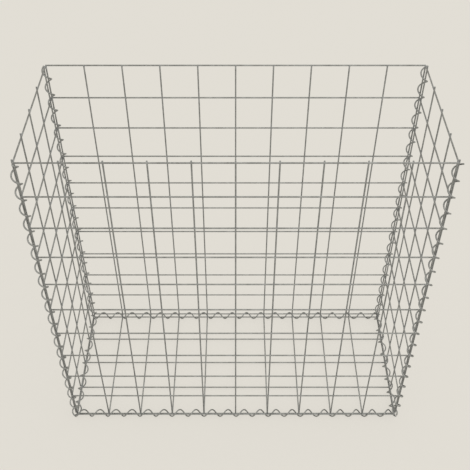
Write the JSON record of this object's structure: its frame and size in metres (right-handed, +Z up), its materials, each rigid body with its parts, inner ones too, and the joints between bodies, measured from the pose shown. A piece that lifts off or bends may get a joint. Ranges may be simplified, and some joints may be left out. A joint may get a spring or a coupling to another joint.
{
  "type": "gabion basket",
  "caption": "Open-topped box of welded wire mesh panels, laced along its edges by spiral binders, that is filled with stone to make a gabion wall.",
  "frame": {"origin": "on the ground under the middle of the basket", "axes": "+X along the wall to the right seen from the front, +Y through the wall to the back, +Z up"},
  "size_m": [1.0296, 0.4357, 1.0188],
  "materials": {
    "mesh_wire": "dull galvanised",
    "spiral_wire": "dull galvanised"
  },
  "bodies": {
    "root": {"front_panel": "mesh_wire", "back_panel": "mesh_wire", "left_panel": "mesh_wire", "right_panel": "mesh_wire", "base_panel": "mesh_wire", "front_left_spiral": "spiral_wire", "front_right_spiral": "spiral_wire", "back_left_spiral": "spiral_wire", "back_right_spiral": "spiral_wire", "base_front_spiral": "spiral_wire", "base_back_spiral": "spiral_wire", "base_left_spiral": "spiral_wire", "base_right_spiral": "spiral_wire"}
  },
  "joints": []
}
